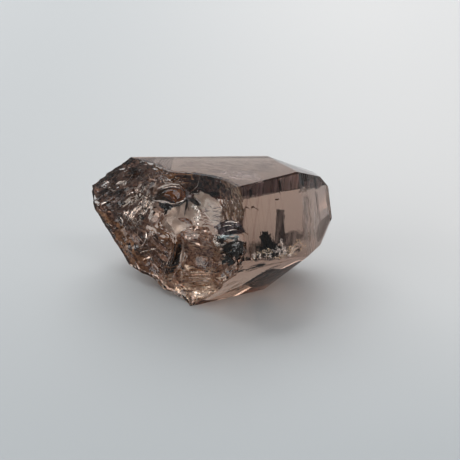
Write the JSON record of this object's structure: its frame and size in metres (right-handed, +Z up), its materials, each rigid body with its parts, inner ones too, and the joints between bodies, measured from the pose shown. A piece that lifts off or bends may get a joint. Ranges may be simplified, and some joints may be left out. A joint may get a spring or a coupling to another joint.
{
  "type": "smoky quartz crystal",
  "caption": "Stubby see-through smoky quartz crystal lying on a prism face, with striated faces, a bevelled grown end and a conchoidal break at its other end.",
  "frame": {"origin": "on the ground, under the middle of the crystal's bounding box", "axes": "+Z up, square to the prism face that it rests on; +X along the crystal towards its grown end; -Y towards the striated front face"},
  "size_m": [0.0462, 0.0294, 0.024],
  "materials": {
    "smoky_quartz": "glassy growth faces with fine striations, uneven glassy break"
  },
  "bodies": {
    "root": {"smoky_quartz": "smoky_quartz"}
  },
  "joints": []
}
